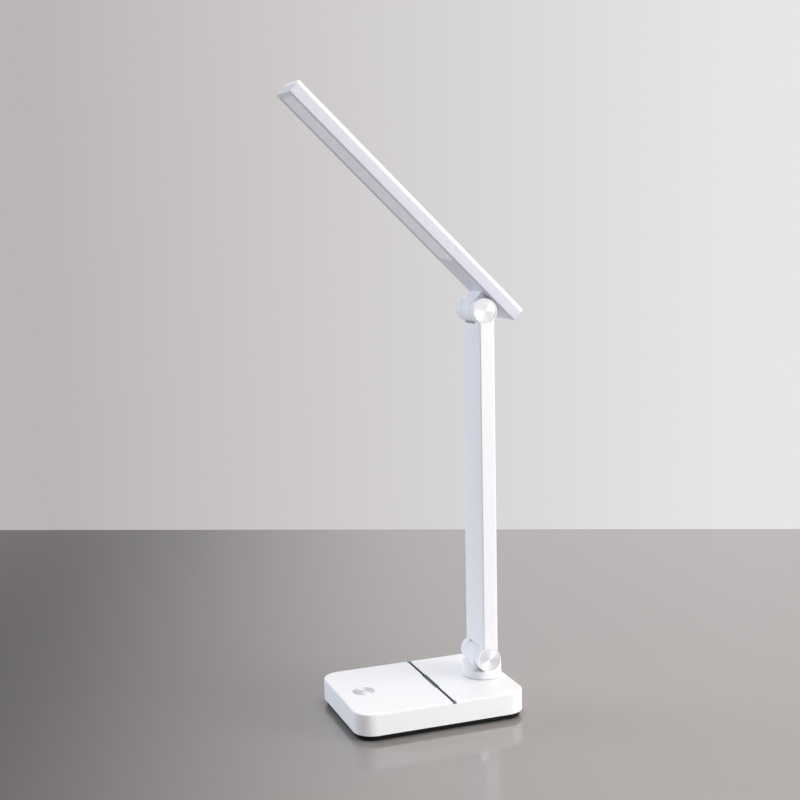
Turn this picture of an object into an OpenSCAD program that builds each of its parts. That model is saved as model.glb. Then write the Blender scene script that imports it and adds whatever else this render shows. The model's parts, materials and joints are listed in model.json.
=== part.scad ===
// Folding LED desk lamp: a flat base with a swivelling hinge post, a slim arm
// with a forked hinge at each end, and a long flat lamp head.
// X runs along the base, with the hinge post at +X and the button at -X.
// Z is up, and the origin is the middle of the base's footprint on the table.

/* [Base] */
// Length of the base
base_l = 136; // [130:1:160]
// Width of the base
base_w = 100; // [92:1:130]
// Radius of the base's upright corners
base_corner_r = 15; // [10:1:20]
// Height of the white base shell
shell_h = 16.3; // [15.8:0.1:24]
// Side wall of the base shell
shell_wall = 3; // [2.6:0.1:3.6]
// Top wall of the base shell
shell_top = 2.4; // [2:0.1:3]
// Rounding of the base shell's top edge
shell_edge_r = 1; // [0.5:0.1:1.6]

/* [Base underside] */
// How far the black bottom plate is set in from the shell
plate_inset = 2; // [1:0.1:2.2]
// Height of the bottom plate below the shell
plate_h = 4.1; // [3.4:0.1:6]
// Floor thickness of the bottom plate
plate_floor = 2; // [1.8:0.1:2.6]
// Height of the plate's rim that fits inside the shell
plate_rim_h = 2; // [1:0.1:3]
// Thickness of the plate's rim
plate_rim_t = 1.6; // [1.2:0.1:2.2]
// Thickness of the anti-slip pad
pad_t = 0.6; // [0.4:0.1:1.5]
// How far the pad is set in from the bottom plate
pad_inset = 1.5; // [1:0.1:3]
// Distance of the base screws from the ends and sides of the base
screw_inset = 14; // [12:0.5:15]

/* [Screws] */
// Radius of a base screw's shank
screw_r = 1.45; // [1.2:0.05:1.6]
// Radius of a base screw's head
screw_head_r = 2.7; // [2.3:0.1:3]
// Thickness of a base screw's head
screw_head_t = 1.4; // [1:0.1:1.6]
// How far a base screw reaches into its post
screw_reach = 9; // [6:0.5:10]
// Radius of the posts that the base screws enter
post_r = 3.6; // [3:0.1:4.2]
// Radius of the shank of a small screw
small_screw_r = 1; // [0.8:0.05:1.2]
// Radius of the head of a small screw
small_head_r = 1.8; // [1.6:0.1:2]
// Thickness of the head of a small screw
small_head_t = 1.2; // [0.8:0.1:1.4]

/* [Groove in the base] */
// Place of the groove along the base
groove_x = 7.6; // [4:0.1:12]
// Width of the groove
groove_w = 2.4; // [2:0.1:3]
// Width of the groove's middle part
groove_mid_w = 3.8; // [3.2:0.1:3.9]
// Length of the groove's middle part
groove_mid_l = 30; // [20:1:45]
// Depth of the groove
groove_depth = 2.4; // [2:0.1:3.2]
// How far the pad in the groove's middle part lies below the base's top
groove_pad_sink = 0.8; // [0.4:0.1:1.2]
// Distance from each end of the groove to the side of the base
groove_end = 1.6; // [1.2:0.1:4]
// Width of the lips that the groove's lining lays over the edges of the base
lip_w = 3.2; // [2.8:0.1:4]
// Length of the lips
lip_l = 5; // [4:0.1:7]
// Depth of the notches that the lips lie in
lip_depth = 1; // [0.8:0.1:1.2]
// Wall thickness of the groove's rubber liner
liner_t = 0.5; // [0.4:0.1:0.7]

/* [Button] */
// Distance of the button's centre from the end of the base
button_inset = 20.5; // [20:0.5:24]
// Radius of the button's face
button_r = 7.8; // [7:0.1:9.5]
// Height of the button's face above the base
button_proud = 0.4; // [0.1:0.1:0.8]
// How far the button can be pressed
button_travel = 0.6; // [0.3:0.1:0.8]
// Width of the bright ring around the button
ring_w = 0.9; // [0.6:0.1:1.6]
// Height of the ring above the base
ring_proud = 0.2; // [0.1:0.1:0.5]
// Depth of the ring's seat in the shell
ring_depth = 1; // [0.6:0.1:1.4]

/* [Electronics in the base] */
// Length of the control board
board_l = 30; // [26:1:32]
// Width of the control board
board_w = 44; // [40:1:50]
// Thickness of the boards
board_t = 1.6; // [1:0.1:2]
// Side of the switch under the button
switch_side = 6; // [5:0.5:8]
// Height of the switch's body
switch_h = 3.5; // [3:0.1:3.8]
// Radius of the switch's plunger
plunger_r = 1.6; // [1.2:0.1:2]
// Length of the battery
battery_l = 50; // [40:1:52]
// Width of the battery
battery_w = 38; // [30:1:46]
// Thickness of the battery
battery_t = 6.6; // [5:0.1:6.8]
// Thickness of the foam under the battery
foam_t = 0.8; // [0.5:0.1:1]
// Length of the steel ballast plate
ballast_l = 90; // [70:1:91]
// Width of the steel ballast plate
ballast_w = 76; // [60:1:78]
// Thickness of the steel ballast plate
ballast_t = 4; // [3:0.1:4.2]
// Width of the charging socket
socket_w = 9; // [8:0.1:10]
// Height of the charging socket
socket_h = 3.2; // [3:0.1:3.6]
// Length of the charging socket
socket_l = 7.4; // [6.5:0.1:8]

/* [Swivel] */
// Distance of the swivel axis from the end of the base
swivel_inset = 16.6; // [16.4:0.1:20]
// Radius of the turntable
turntable_r = 15.3; // [14.6:0.1:16.2]
// Height of the turntable's disc
turntable_h = 6.2; // [5:0.1:8]
// Rounding of the turntable's top edge
turntable_edge_r = 0.6; // [0.3:0.1:1.5]
// Height of the block's heel above the turntable's disc
heel_h = 4.3; // [3.6:0.1:4.8]
// Radius of the turntable's spindle
spindle_r = 7; // [6:0.1:7.4]
// Radius of the spindle's threaded end
thread_r = 6; // [5:0.1:6.2]
// Length of the spindle's threaded end
thread_l = 4.6; // [4.4:0.1:5]
// Radius of the wire passage through the spindle
passage_r = 2.2; // [1.6:0.1:2.4]
// Thickness of the sliding washer under the turntable
slide_washer_t = 0.8; // [0.6:0.1:1]
// Depth of the boss around the spindle inside the shell
spindle_boss_h = 2.6; // [2:0.1:3]
// Thickness of the stop washer
stop_washer_t = 0.8; // [0.6:0.1:1]
// Outer radius of the stop washer
stop_washer_r = 10.4; // [9.5:0.1:10.6]
// How far the stop washer's lug sticks out
stop_lug_l = 2.4; // [2:0.1:2.6]
// Width of the stop washer's lug and of the ribs that stop it
stop_lug_w = 3; // [2.4:0.1:3.4]
// Outer radius of the spindle nut
spindle_nut_r = 9.6; // [8.6:0.1:10]
// Thickness of the spindle nut
spindle_nut_t = 3.2; // [2.8:0.1:3.4]

/* [Hinges] */
// How far the hinge axis lies from the swivel axis, towards the button
hinge_offset = 1; // [0:0.1:2]
// Radius of the hinge barrels and of the arm's eyes
eye_r = 9.5; // [9.4:0.1:10.6]
// Width of a hinge's middle barrel
barrel_w = 18; // [16:0.1:19]
// Thickness of the friction washers
friction_washer_t = 0.5; // [0.4:0.1:0.7]
// Radius of the friction washers
friction_washer_r = 7.6; // [7:0.1:9]
// Radius of the hinge pins
pin_r = 2.5; // [2:0.1:3]
// Radius of a hinge pin's head and nut
pin_head_r = 4.6; // [4.2:0.1:5]
// Thickness of a hinge pin's head and nut
pin_head_t = 2; // [1.6:0.1:2.2]
// Radius of the spun metal caps
cap_r = 8.7; // [8.2:0.1:8.8]
// Thickness of the caps
cap_t = 1.3; // [1:0.1:1.6]
// How far the caps lie below the arm's sides
cap_sink = 0.2; // [0.1:0.1:0.4]
// Width of the ledge that carries a cap
cap_ledge = 1.2; // [0.8:0.1:1.6]

/* [Arm] */
// Distance between the two hinge axes
arm_l = 272; // [220:1:320]
// Width of the arm
arm_w = 35.2; // [34:0.1:42]
// Thickness of the arm
arm_t = 11.8; // [10.4:0.1:13]
// How far the arm's middle lies behind its hinge axes
arm_offset = 1.3; // [0:0.1:2]
// How far the middle of the arm's front face bulges
arm_crown = 0.8; // [0.2:0.1:1.2]
// Rounding of the arm's long edges
arm_edge_r = 1; // [0.5:0.1:1.5]
// Wall thickness of the arm
arm_wall = 2; // [1.6:0.1:2.4]
// Thickness of the arm's back cover
arm_cover_t = 1.6; // [1.2:0.1:2]
// Width of the ledge that carries the back cover
arm_ledge = 1; // [0.8:0.1:1.4]
// Radius of the wires
wire_r = 1.6; // [1.2:0.1:1.7]
// Angle of the arm in front of upright
arm_lean = 0; // [0:1:20]

/* [Lamp head] */
// Angle of the lamp head above level
head_tilt = 44.6; // [20:0.1:60]
// Length of the head in front of its hinge axis
head_front = 216.8; // [180:0.1:230]
// Length of the head behind its hinge axis
head_rear = 22.2; // [20:0.1:26]
// Width of the head
head_w = 36; // [34:0.1:44]
// Thickness of the head
head_t = 11.5; // [10.4:0.1:13]
// Radius of the corners inside the head
head_inner_r = 3; // [2.4:0.1:4]
// Rounding of the head's long top edges
head_top_edge_r = 3; // [1.5:0.1:3.1]
// Rounding of the head's long lower edges
head_low_edge_r = 1.1; // [0.8:0.1:1.6]
// Wall thickness of the head
head_wall = 1.6; // [1.4:0.1:1.8]
// Height of the cover's side, down to the seam
cover_side_h = 3.5; // [3.2:0.1:4.5]
// Floor thickness of the head's lower frame
frame_floor = 2; // [1.8:0.1:2.4]
// Height of the lower frame's rim inside the cover
frame_rim_h = 1.2; // [0.8:0.1:1.4]
// Thickness of the lower frame's rim
frame_rim_t = 0.8; // [0.7:0.1:0.9]
// Width of the border around the light window
window_border = 3.2; // [3.1:0.1:4.5]
// Length of the closed part between the window and the hinge axis
window_gap = 44; // [36:0.5:60]
// Thickness of the diffuser
diffuser_t = 1.5; // [1:0.1:1.8]
// How far the diffuser's face lies inside the frame's underside
diffuser_recess = 0.4; // [0.2:0.1:1]
// Thickness of the LED board
led_board_t = 1.2; // [1:0.1:1.6]
// Number of LEDs in a row
led_count = 14; // [6:1:18]
// Length of a LED
led_l = 3.5; // [2.5:0.1:3.8]
// Width of a LED
led_w = 2.8; // [2:0.1:3.2]
// Thickness of a LED
led_t = 0.8; // [0.5:0.1:1]

/* [Hidden] */
$fn = 64;
crown_fn = 720;
// how far joined shapes run into each other, and how far cutting shapes run past
eps = 0.01;
over = 1;
// running clearances: sliding fits, snug fits between still pieces, and open gaps
pin_fit = 0.05;
snug_fit = 0.1;
hinge_gap = 0.5;
slot_gap = 0.6;
head_gap = 1.2;

// heights in the base
plate_z = pad_t;
shell_z = pad_t + plate_h;
top_z = shell_z + shell_h;
ceiling_z = top_z - shell_top;
floor_z = plate_z + plate_floor;
ballast_z = floor_z;
foam_z = ballast_z + ballast_t;
battery_z = foam_z + foam_t;

// screws and posts
post_x = base_l / 2 - screw_inset;
post_y = base_w / 2 - screw_inset;
post_bottom_z = floor_z;
pad_hole_gap = 0.5;
// the heads end this far above the table, and lie at least this deep in the plate
screw_table_gap = 0.1;
screw_min_sink = 0.3;
screw_sink = max(screw_head_t - pad_t + screw_table_gap, screw_min_sink);
screw_l = plate_floor - screw_sink + screw_reach;
// screw holes are this much deeper than the screws
screw_hole_spare = 0.5;

// groove
groove_l = base_w - 2 * groove_end;
groove_floor_z = top_z - groove_depth;
groove_trough_t = 1.4;
liner_sink = 0.2;
lip_end_gap = 0.3;

// button
button_x = -(base_l / 2 - button_inset);
button_fit = 0.2;
button_top_z = top_z + button_proud;
flange_extra = 1.2;
flange_t = 0.7;
flange_z = ceiling_z - flange_t - snug_fit;
stem_r = 2;
ring_in_r = button_r + button_fit;
ring_out_r = ring_in_r + ring_w;
// the switch stands on the board, its plunger just under the button's stem
plunger_out = 0.8;
switch_floor = 0.4;
stem_l = 1.1;
stem_z = flange_z - stem_l;
switch_z = stem_z - plunger_out - switch_h;
board_z = switch_z - board_t;
plunger_top_z = stem_z;
plunger_bottom_z = switch_z + switch_floor + button_travel;
board_x = button_x;
board_corner_r = 1.5;
standoff_end = 3.2;
standoff_side = 4;
standoff_x = board_l / 2 - standoff_end;
standoff_y = board_w / 2 - standoff_side;
standoff_r = 2.6;
small_screw_reach = 4;

// battery and ballast
battery_x = (board_x + board_l / 2 + base_l / 2 - swivel_inset - stop_washer_r) / 2;
battery_corner_r = 3;
foam_inset = 2;
ballast_corner_r = 4;
battery_edge_r = 1.5;

// charging socket
socket_board_t = 1.2;
socket_board_l = 12;
socket_board_margin = 4;
socket_board_w = socket_w + 2 * socket_board_margin;
socket_recess = 1;
socket_wall = 0.35;
socket_back_t = 1;
socket_end_r = socket_h / 2 - 0.1;
shelf_h = 2;
shelf_w = 2;
shelf_lap = 1;
// the shelves clear the plate's rim, and the board clears the screw post
shelf_gap = 0.2;
shelf_z = shell_z + plate_rim_h + shelf_gap;
socket_z = shelf_z + shelf_h + socket_board_t;
socket_post_gap = 1;
socket_y = post_y - post_r - socket_board_w / 2 - socket_post_gap;
socket_front_x = base_l / 2 - socket_recess;

// swivel
swivel_x = base_l / 2 - swivel_inset;
turntable_gap = 0.3;
slide_washer_seat = slide_washer_t - turntable_gap;
slide_washer_inset = 1.5;
slide_washer_r = turntable_r - slide_washer_inset;
turntable_z = top_z + turntable_gap;
heel_z = turntable_z + turntable_h / 2;
heel_inset = 0.1;
heel_r = turntable_r - heel_inset;
spindle_boss_t = 4.6;
spindle_boss_r = spindle_r + spindle_boss_t;
boss_bottom_z = ceiling_z - spindle_boss_h;
stop_washer_z = boss_bottom_z - stop_washer_t;
spindle_nut_z = stop_washer_z - spindle_nut_t;
spindle_end_z = stop_washer_z - thread_l + stop_washer_t;
swivel_range = 90;
stop_mid_r = stop_washer_r + stop_lug_l / 2;
stop_half_angle = asin(stop_lug_w / 2 / stop_mid_r);
stop_spare_angle = 3;
stop_rib_angle = swivel_range - 2 * stop_half_angle - stop_spare_angle;
stop_rib_gap = 0.4;
stop_rib_in_r = stop_washer_r + stop_rib_gap;
stop_rib_out_r = stop_rib_in_r + stop_lug_l;

// hinges
hinge_x = swivel_x - hinge_offset;
lower_z = turntable_z + turntable_h + hinge_gap + eye_r;
passage_z = turntable_z + turntable_h;
// the upright bore ends this far above the level one
passage_spare = 0.5;
cheek_in = barrel_w / 2 + friction_washer_t;
cheek_out = arm_w / 2;
cap_y = cheek_out - cap_sink - cap_t;
pin_cap_gap = 0.3;
pin_seat_y = cap_y - pin_head_t - pin_cap_gap;
pin_end_y = pin_seat_y + 0.9 * pin_head_t;
slot_end = eye_r + slot_gap;

// arm; its front is part of a large circle, and each front edge's centre lies on a circle
// smaller by the edge's radius
crown_r = (arm_w * arm_w / 4 + arm_crown * arm_crown) / (2 * arm_crown);
crown_x = crown_r - arm_crown - arm_t / 2;
arm_edge_y = arm_w / 2 - arm_edge_r;
arm_edge_x = crown_x - sqrt(pow(crown_r - arm_edge_r, 2) - pow(arm_edge_y, 2));
crown_half_w = arm_edge_y * crown_r / (crown_r - arm_edge_r);
end_wall_t = 3;
channel_end = slot_end + end_wall_t;
channel_w = arm_w - 2 * arm_wall - 2 * arm_ledge;
cover_w = channel_w + 2 * arm_ledge;
cover_x = arm_offset + arm_t / 2 - arm_cover_t;
rib_t = 1.2;
snap_rib_h = 2;
snap_rib_l = 10;
wire_end = 0.5;

// lamp head, with its hinge axis at the origin while it lies level
head_z = eye_r + head_gap;
head_top_z = head_z + head_t;
head_l = head_front + head_rear;
head_mid_x = (head_rear - head_front) / 2;
frame_side_h = head_t - cover_side_h;
cover_z = head_z + frame_side_h;
frame_floor_z = head_z + frame_floor;
head_ceiling_z = head_top_z - head_wall;
window_l = head_front - window_gap - window_border;
window_w = head_w - 2 * window_border;
window_x = -window_gap - window_l / 2;
window_corner_r = 2;
diffuser_z = frame_floor_z;
// the diffuser fills the space inside the frame's rim, and lies on the border
frame_rim_out = head_wall + snug_fit;
frame_rim_in = frame_rim_out + frame_rim_t;
diffuser_lap = window_border - frame_rim_in - snug_fit;
diffuser_l = window_l + 2 * diffuser_lap;
diffuser_w = window_w + 2 * diffuser_lap;
led_board_rib_h = 0.6;
led_board_z = head_ceiling_z - led_board_t - led_board_rib_h;
led_board_end = 4;
led_board_side = 1;
led_board_l = window_l - 2 * led_board_end;
led_board_w = window_w - 2 * led_board_side;
led_board_corner_r = 1;
spigot_l = 14;
spigot_w = 11;
clamp_t = 1.5;
clamp_corner_r = 1.5;
clamp_margin = 3;
clamp_l = spigot_l + 2 * clamp_margin;
clamp_w = spigot_w + 2 * clamp_margin;
clamp_z = frame_floor_z;
clamp_screw_x = 4.4;
clamp_screw_reach = 4.5;
led_end = 6;
head_wire_lap = 8;
led_pitch = (led_board_l - 2 * led_end) / (led_count - 1);

// ---- shared shapes ----

// flat rectangle with round corners, centred
module round_rect(l, w, r) {
    square([l - 2 * r, w], center = true);
    square([l, w - 2 * r], center = true);
    for (x = [-1, 1], y = [-1, 1])
        translate([x * (l / 2 - r), y * (w / 2 - r)]) circle(r);
}

// upright plate with round corners, standing on z = 0
module plate(l, w, r, h) {
    linear_extrude(h) round_rect(l, w, r);
}

// upright section of width w and height h, its top and lower corners rounded
module soft_section(w, h, top_r, low_r) {
    translate([-w / 2, low_r]) square([w, h - top_r - low_r]);
    translate([top_r - w / 2, low_r]) square([w - 2 * top_r, h - low_r]);
    translate([low_r - w / 2, 0]) square([w - 2 * low_r, h - top_r]);
    intersection() {
        translate([-w / 2, 0]) square([w, h]);
        for (x = [-1, 1]) {
            if (top_r > 0) translate([x * (w / 2 - top_r), h - top_r]) circle(top_r);
            if (low_r > 0) translate([x * (w / 2 - low_r), low_r]) circle(low_r);
        }
    }
}

// disc with the same section
module soft_disc(r, h, top_r, low_r) {
    rotate_extrude() intersection() {
        soft_section(2 * r, h, top_r, low_r);
        square([r, h]);
    }
}

// bar of the same section along X, with flat ends
module soft_bar(l, w, h, top_r, low_r) {
    rotate([90, 0, 90]) linear_extrude(l, center = true) soft_section(w, h, top_r, low_r);
}

// plate with round corners of radius r and the same section all round
module soft_plate(l, w, r, h, top_r, low_r) {
    soft_bar(l - 2 * r, w, h, top_r, low_r);
    rotate([90, 0, 0]) linear_extrude(w - 2 * r, center = true)
        soft_section(l, h, top_r, low_r);
    for (x = [-1, 1], y = [-1, 1])
        translate([x * (l / 2 - r), y * (w / 2 - r), 0]) soft_disc(r, h, top_r, low_r);
}

// rod along Y, centred
module rod_y(r, l) {
    rotate([90, 0, 0]) cylinder(r = r, h = l, center = true);
}

// rod along Y from y = a outward to y = b, on the side given by its sign
module rod_y_from(r, a, b) {
    translate([0, (a + b) / 2, 0]) rod_y(r, abs(b - a));
}

module at_posts() {
    for (x = [-1, 1], y = [-1, 1]) translate([x * post_x, y * post_y, 0]) children();
}

module at_standoffs() {
    for (x = [-1, 1], y = [-1, 1])
        translate([board_x + x * standoff_x, y * standoff_y, 0]) children();
}

module at_lower_hinge() {
    translate([hinge_x, 0, lower_z]) children();
}

module in_arm() {
    at_lower_hinge() rotate([0, -arm_lean, 0]) children();
}

module at_upper_hinge() {
    in_arm() translate([0, 0, arm_l]) rotate([0, arm_lean, 0]) children();
}

module in_head() {
    at_upper_hinge() rotate([0, head_tilt, 0]) children();
}

// ---- base ----

module groove_outline(extra) {
    square([groove_w + 2 * extra, groove_l + 2 * extra], center = true);
    square([groove_mid_w + 2 * extra, groove_mid_l + 2 * extra], center = true);
}

// blocks of length l at both ends of the groove, from its lips' inner ends outward
module lip_blocks(w, l, h) {
    for (s = [-1, 1]) translate([-w / 2, s * (base_w / 2 - lip_l + l / 2) - l / 2, 0])
        cube([w, l, h]);
}

module base_shell() {
    color("white") difference() {
        union() {
            translate([0, 0, shell_z]) difference() {
                soft_plate(base_l, base_w, base_corner_r, shell_h, shell_edge_r, 0);
                translate([0, 0, -eps])
                    plate(base_l - 2 * shell_wall, base_w - 2 * shell_wall,
                          base_corner_r - shell_wall, shell_h - shell_top + eps);
            }
            // posts for the base screws
            at_posts() translate([0, 0, post_bottom_z])
                cylinder(r = post_r, h = ceiling_z - post_bottom_z + eps);
            // standoffs that carry the control board
            at_standoffs() translate([0, 0, board_z + board_t])
                cylinder(r = standoff_r, h = ceiling_z - board_z - board_t + eps);
            // trough around the groove, joined to both side walls
            translate([groove_x, 0, groove_floor_z - groove_trough_t])
                linear_extrude(ceiling_z - groove_floor_z + groove_trough_t + eps)
                    intersection() {
                        groove_outline(groove_trough_t);
                        square([base_l, base_w - shell_wall], center = true);
                    }
            // boss around the spindle, and the two ribs that stop the swivel
            translate([swivel_x, 0, boss_bottom_z])
                cylinder(r = spindle_boss_r, h = ceiling_z - boss_bottom_z + eps);
            for (a = [-1, 1]) translate([swivel_x, 0, 0])
                rotate([0, 0, a * stop_rib_angle])
                    translate([stop_rib_in_r, -stop_lug_w / 2, stop_washer_z])
                        cube([stop_rib_out_r - stop_rib_in_r, stop_lug_w,
                              ceiling_z - stop_washer_z + eps]);
            // shelves under the charging socket's board
            for (s = [-1, 1])
                translate([base_l / 2 - shell_wall - socket_board_l,
                           socket_y + s * (socket_board_w / 2 - shelf_lap + shelf_w / 2)
                               - shelf_w / 2,
                           shelf_z])
                    cube([socket_board_l + eps, shelf_w, shelf_h]);
        }
        // screw holes
        at_posts() translate([0, 0, post_bottom_z - eps])
            cylinder(r = screw_r + pin_fit, h = screw_reach + screw_hole_spare);
        at_standoffs() translate([0, 0, board_z + board_t - eps])
            cylinder(r = small_screw_r + pin_fit, h = small_screw_reach + screw_hole_spare);
        // button hole and the seat of its ring
        translate([button_x, 0, ceiling_z - eps])
            cylinder(r = ring_in_r, h = shell_top + 2 * eps);
        translate([button_x, 0, top_z - ring_depth])
            cylinder(r = ring_out_r + pin_fit, h = ring_depth + eps);
        // groove
        translate([groove_x, 0, groove_floor_z])
            linear_extrude(groove_depth + eps) groove_outline(0);
        translate([groove_x, 0, top_z - lip_depth]) lip_blocks(lip_w, lip_l + over, lip_depth + eps);
        // spindle hole and the seat of the sliding washer
        translate([swivel_x, 0, boss_bottom_z - eps])
            cylinder(r = spindle_r + pin_fit, h = top_z - boss_bottom_z + 2 * eps);
        translate([swivel_x, 0, top_z - slide_washer_seat])
            cylinder(r = slide_washer_r + snug_fit, h = slide_washer_seat + eps);
        // mouth of the charging socket
        translate([base_l / 2 - shell_wall - eps, socket_y, socket_z + socket_h / 2])
            rotate([90, 0, 90]) linear_extrude(shell_wall + 2 * eps)
                round_rect(socket_w + 2 * snug_fit, socket_h + 2 * snug_fit,
                           socket_end_r + snug_fit);
    }
}

module base_plate() {
    l = base_l - 2 * plate_inset;
    w = base_w - 2 * plate_inset;
    r = base_corner_r - plate_inset;
    rim_in = shell_wall + snug_fit;
    hollow = rim_in + plate_rim_t;
    color("black") difference() {
        union() {
            translate([0, 0, plate_z]) plate(l, w, r, plate_h);
            translate([0, 0, shell_z - eps])
                plate(base_l - 2 * rim_in, base_w - 2 * rim_in, base_corner_r - rim_in,
                      plate_rim_h + eps);
        }
        translate([0, 0, floor_z])
            plate(base_l - 2 * hollow, base_w - 2 * hollow, base_corner_r - hollow,
                  plate_h + plate_rim_h);
        at_posts() translate([0, 0, plate_z - eps]) {
            cylinder(r = screw_r + snug_fit, h = plate_floor + 2 * eps);
            cylinder(r = screw_head_r + snug_fit, h = screw_sink + eps);
        }
    }
}

module anti_slip_pad() {
    inset = plate_inset + pad_inset;
    color("dimgray") difference() {
        plate(base_l - 2 * inset, base_w - 2 * inset, base_corner_r - inset, pad_t);
        at_posts() translate([0, 0, -eps])
            cylinder(r = screw_head_r + pad_hole_gap, h = pad_t + 2 * eps);
    }
}

// flat-headed screws, the heads sunk in the plate so that they stay off the table
module base_screws() {
    color("silver") at_posts() translate([0, 0, plate_z + screw_sink]) {
        translate([0, 0, -screw_head_t]) cylinder(r = screw_head_r, h = screw_head_t);
        translate([0, 0, -eps]) cylinder(r = screw_r, h = screw_l + eps);
    }
}

module ballast_plate() {
    color("slategray") translate([0, 0, ballast_z])
        plate(ballast_l, ballast_w, ballast_corner_r, ballast_t);
}

module battery_foam() {
    color("dimgray") translate([battery_x, 0, foam_z])
        plate(battery_l - 2 * foam_inset, battery_w - 2 * foam_inset, battery_corner_r, foam_t);
}

module battery() {
    color("steelblue") translate([battery_x, 0, battery_z])
        soft_plate(battery_l, battery_w, battery_corner_r, battery_t, battery_edge_r,
                   battery_edge_r);
}

module control_board() {
    color("darkgreen") difference() {
        translate([board_x, 0, board_z]) plate(board_l, board_w, board_corner_r, board_t);
        at_standoffs() translate([0, 0, board_z - eps])
            cylinder(r = small_screw_r + snug_fit, h = board_t + 2 * eps);
    }
}

module small_screw(reach) {
    translate([0, 0, -eps]) cylinder(r = small_screw_r, h = reach + eps);
    translate([0, 0, -small_head_t]) cylinder(r = small_head_r, h = small_head_t);
}

module board_screws() {
    color("silver") at_standoffs()
        translate([0, 0, board_z]) small_screw(board_t + small_screw_reach);
}

module switch_body() {
    color("gray") difference() {
        translate([button_x - switch_side / 2, -switch_side / 2, switch_z])
            cube([switch_side, switch_side, switch_h]);
        translate([button_x, 0, switch_z + switch_floor])
            cylinder(r = plunger_r + pin_fit, h = switch_h);
    }
}

module switch_plunger() {
    color("black") translate([button_x, 0, plunger_bottom_z])
        cylinder(r = plunger_r, h = plunger_top_z - plunger_bottom_z);
}

module button_cap() {
    color("silver") translate([button_x, 0, 0]) {
        translate([0, 0, flange_z]) cylinder(r = button_r, h = button_top_z - flange_z);
        translate([0, 0, flange_z]) cylinder(r = button_r + flange_extra, h = flange_t);
        translate([0, 0, stem_z]) cylinder(r = stem_r, h = stem_l + eps);
    }
}

module button_ring() {
    color("gainsboro") translate([button_x, 0, top_z - ring_depth]) difference() {
        cylinder(r = ring_out_r, h = ring_depth + ring_proud);
        translate([0, 0, -eps]) cylinder(r = ring_in_r, h = ring_depth + ring_proud + 2 * eps);
    }
}

// rubber lining: a thin U that follows the groove, with a pad in its middle part and a lip
// at each end
module groove_liner() {
    color("dimgray") translate([groove_x, 0, groove_floor_z]) {
        difference() {
            linear_extrude(groove_depth - liner_sink) groove_outline(-pin_fit);
            translate([0, 0, liner_t])
                linear_extrude(groove_depth) groove_outline(-pin_fit - liner_t);
        }
        linear_extrude(groove_depth - groove_pad_sink)
            square([groove_mid_w - 2 * pin_fit - liner_t, groove_mid_l - 2 * pin_fit - liner_t],
                   center = true);
        translate([0, 0, groove_depth - lip_depth])
            lip_blocks(lip_w - 2 * pin_fit, lip_l - lip_end_gap, lip_depth - liner_sink);
    }
}

module charging_socket() {
    color("silver") translate([socket_front_x - socket_l, socket_y, socket_z + socket_h / 2])
        rotate([90, 0, 90]) difference() {
            linear_extrude(socket_l) round_rect(socket_w, socket_h, socket_end_r);
            translate([0, 0, socket_back_t]) linear_extrude(socket_l)
                round_rect(socket_w - 2 * socket_wall, socket_h - 2 * socket_wall,
                           socket_end_r - socket_wall);
        }
}

module socket_board() {
    color("darkgreen")
        translate([base_l / 2 - shell_wall - socket_board_l - snug_fit,
                   socket_y - socket_board_w / 2, socket_z - socket_board_t])
            cube([socket_board_l, socket_board_w, socket_board_t]);
}

// ---- turntable ----

module turntable() {
    color("whitesmoke") difference() {
        union() {
            translate([swivel_x, 0, turntable_z])
                soft_disc(turntable_r, turntable_h, turntable_edge_r, 0);
            translate([swivel_x, 0, stop_washer_z])
                cylinder(r = spindle_r, h = turntable_z - stop_washer_z + eps);
            translate([swivel_x, 0, spindle_end_z])
                cylinder(r = thread_r, h = stop_washer_z - spindle_end_z + eps);
            // upright block that carries the barrel, on a wider heel
            translate([hinge_x - eye_r, -barrel_w / 2, turntable_z + turntable_h - eps])
                cube([2 * eye_r, barrel_w, lower_z - turntable_z - turntable_h + eps]);
            intersection() {
                translate([swivel_x, 0, heel_z])
                    cylinder(r = heel_r, h = turntable_z + turntable_h + heel_h - heel_z);
                translate([swivel_x - turntable_r, -barrel_w / 2, heel_z])
                    cube([2 * turntable_r, barrel_w, turntable_h + heel_h]);
            }
            at_lower_hinge() rod_y(eye_r, barrel_w);
        }
        at_lower_hinge() rod_y(pin_r + pin_fit, barrel_w + 2 * over);
        // wire passage up the spindle and out through the heel
        translate([swivel_x, 0, spindle_end_z - eps])
            cylinder(r = passage_r, h = passage_z + passage_r + passage_spare - spindle_end_z);
        translate([swivel_x, 0, passage_z]) rotate([0, 90, 0])
            cylinder(r = passage_r, h = turntable_r + over);
    }
}

module slide_washer() {
    color("ivory") translate([swivel_x, 0, top_z - slide_washer_seat]) difference() {
        cylinder(r = slide_washer_r, h = slide_washer_t);
        translate([0, 0, -eps]) cylinder(r = spindle_r + snug_fit, h = slide_washer_t + 2 * eps);
    }
}

module stop_washer() {
    color("silver") translate([swivel_x, 0, stop_washer_z]) difference() {
        union() {
            cylinder(r = stop_washer_r, h = stop_washer_t);
            translate([-stop_washer_r - stop_lug_l, -stop_lug_w / 2, 0])
                cube([stop_lug_l + 2, stop_lug_w, stop_washer_t]);
        }
        translate([0, 0, -eps]) cylinder(r = spindle_r + pin_fit, h = stop_washer_t + 2 * eps);
    }
}

module spindle_nut() {
    color("silver") translate([swivel_x, 0, spindle_nut_z]) difference() {
        cylinder(r = spindle_nut_r, h = spindle_nut_t, $fn = 6);
        translate([0, 0, -eps]) cylinder(r = thread_r + pin_fit, h = spindle_nut_t + 2 * eps);
    }
}

// ---- hinge hardware, each about a hinge axis along Y at the origin ----

module hinge_pin() {
    rod_y_from(pin_r, -pin_seat_y, pin_end_y);
    rod_y_from(pin_head_r, -pin_seat_y, -pin_seat_y - pin_head_t);
}

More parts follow.
